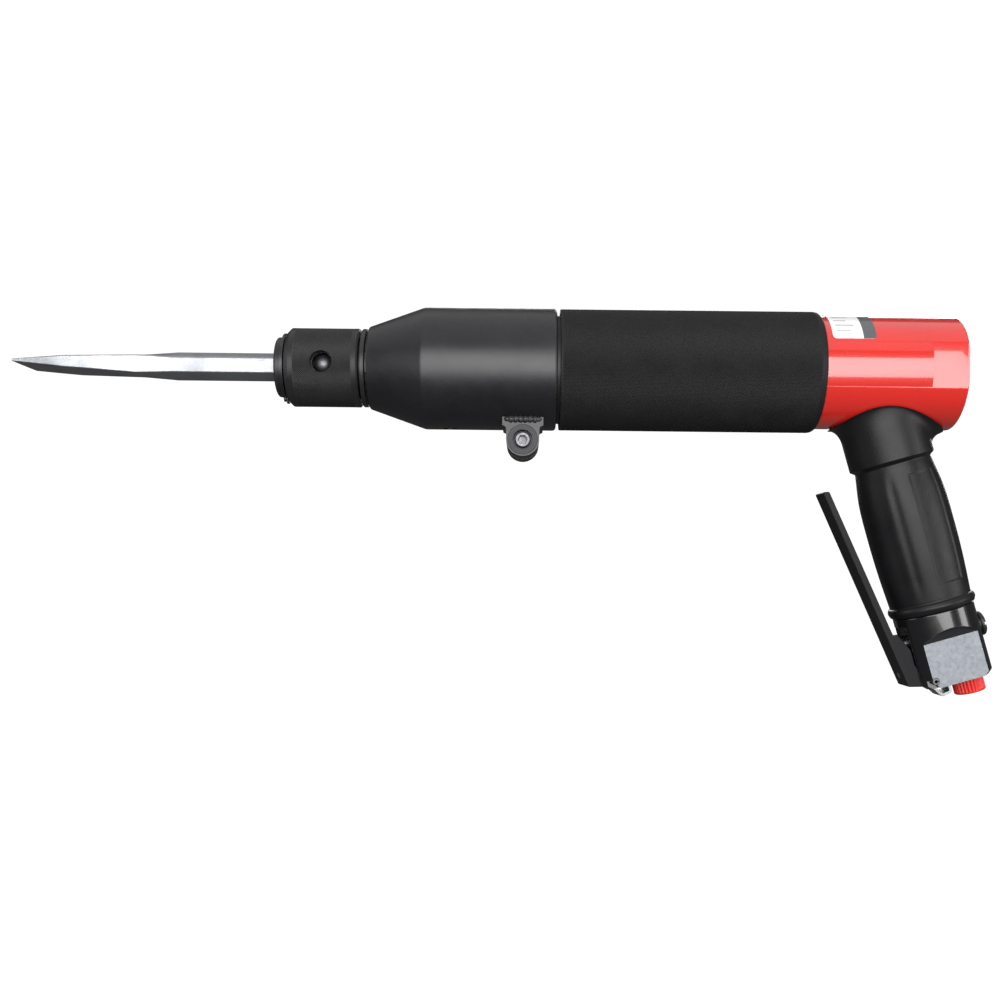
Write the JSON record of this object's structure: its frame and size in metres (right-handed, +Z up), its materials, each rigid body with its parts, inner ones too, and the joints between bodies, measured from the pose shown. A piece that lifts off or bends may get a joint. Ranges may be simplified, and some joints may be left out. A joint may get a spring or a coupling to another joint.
{
  "type": "pneumatic air hammer",
  "caption": "Pistol-handled pneumatic air hammer with a red housing, rubber grips, black front tube, knurled retaining sleeve, lever throttle and a flat chisel.",
  "frame": {"origin": "centre of the flat rear face of the red housing, on the hammer's axis", "axes": "+X along the hammer's axis to the rear (the chisel points to -X); +Z up, with the handle below; -Y is the left hand side of someone who holds it with the chisel pointing away, which is the side with the clamp screw's head and the sleeve's window; +Y is the right hand side"},
  "size_m": [0.5563, 0.069, 0.2193],
  "materials": {
    "red_paint": "gloss enamel",
    "grip_rubber": "matt, fine diamond texture",
    "label_film": "satin printed film, no lettering",
    "satin_black": "satin black coating",
    "lever_black": "semi-gloss black coating",
    "gloss_black": "gloss black, bare metal on the milled flats",
    "black_oxide": "oiled black oxide",
    "ground_steel": "ground",
    "bright_steel": "polished",
    "zinc": "bright zinc plate",
    "seal_rubber": "smooth",
    "bronze": "turned",
    "brass": "turned",
    "red_plastic": "moulded, ribbed"
  },
  "bodies": {
    "housing": {"housing": "red_paint", "grip_sleeve": "grip_rubber", "label": "label_film", "guide_bush": "bronze", "guide_o_ring": "seal_rubber", "front_buffer": "seal_rubber", "rear_spring": "ground_steel", "handle_core": "gloss_black", "handle_grip": "grip_rubber", "valve_seat": "brass", "valve_spring": "bright_steel", "valve_cap": "black_oxide", "valve_cap_o_ring": "seal_rubber", "inlet_strainer": "brass", "roll_pin": "bright_steel"},
    "front_unit": {"front_tube": "satin_black", "clamp_screw": "ground_steel", "cylinder": "black_oxide", "valve_chest": "ground_steel", "cylinder_head": "ground_steel", "head_screw_1": "ground_steel", "head_screw_2": "ground_steel", "head_screw_3": "ground_steel", "head_o_ring": "seal_rubber", "chisel_holder": "black_oxide", "circlip": "satin_black"},
    "piston": {"piston": "ground_steel"},
    "valve_spool": {"valve_spool": "bright_steel"},
    "retaining_sleeve": {"retaining_sleeve": "black_oxide"},
    "retaining_ball": {"retaining_ball": "bright_steel"},
    "chisel": {"chisel": "bright_steel"},
    "lever": {"throttle_lever": "lever_black", "stop_strip": "zinc", "strip_rivet": "zinc"},
    "throttle": {"throttle_plunger": "bright_steel", "valve_poppet": "brass"},
    "dust_cap": {"dust_cap": "red_plastic"}
  },
  "joints": [
    {"name": "isolator_slide", "type": "slide", "parent": "housing", "child": "front_unit", "axis": [1, 0, 0], "range_m": [0, 0.0015], "stiffness_N_per_m": 30000, "springref_m": -0.002},
    {"name": "piston_slide", "type": "slide", "parent": "front_unit", "child": "piston", "axis": [1, 0, 0], "range_m": [0, 0.1]},
    {"name": "spool_slide", "type": "slide", "parent": "front_unit", "child": "valve_spool", "axis": [1, 0, 0], "range_m": [0, 0.003]},
    {"name": "sleeve_turn", "type": "hinge", "parent": "front_unit", "child": "retaining_sleeve", "pos_m": [-0.3579, 0, 0], "axis": [1, 0, 0], "continuous": true},
    {"name": "ball_float", "type": "slide", "parent": "front_unit", "child": "retaining_ball", "axis": [0, -1, 0], "range_m": [0, 0.0009]},
    {"name": "chisel_slide", "type": "slide", "parent": "front_unit", "child": "chisel", "axis": [-1, 0, 0], "range_m": [0, 0.012]},
    {"name": "lever_hinge", "type": "hinge", "parent": "housing", "child": "lever", "pos_m": [-0.01189, 0, -0.1753], "axis": [0, 1, 0], "range_deg": [0, 8.2], "stiffness_Nm_per_rad": 2, "springref_deg": -3.44},
    {"name": "throttle_slide", "type": "slide", "parent": "housing", "child": "throttle", "axis": [0.9608, 0, 0.2773], "range_m": [0, 0.0036]},
    {"name": "cap_pull", "type": "slide", "parent": "housing", "child": "dust_cap", "axis": [0.2773, 0, -0.9608], "range_m": [0, 0.02]}
  ],
  "couplings": [
    {"joint": "throttle_slide", "follows": "lever_hinge", "m_per_rad": 0.0238}
  ]
}
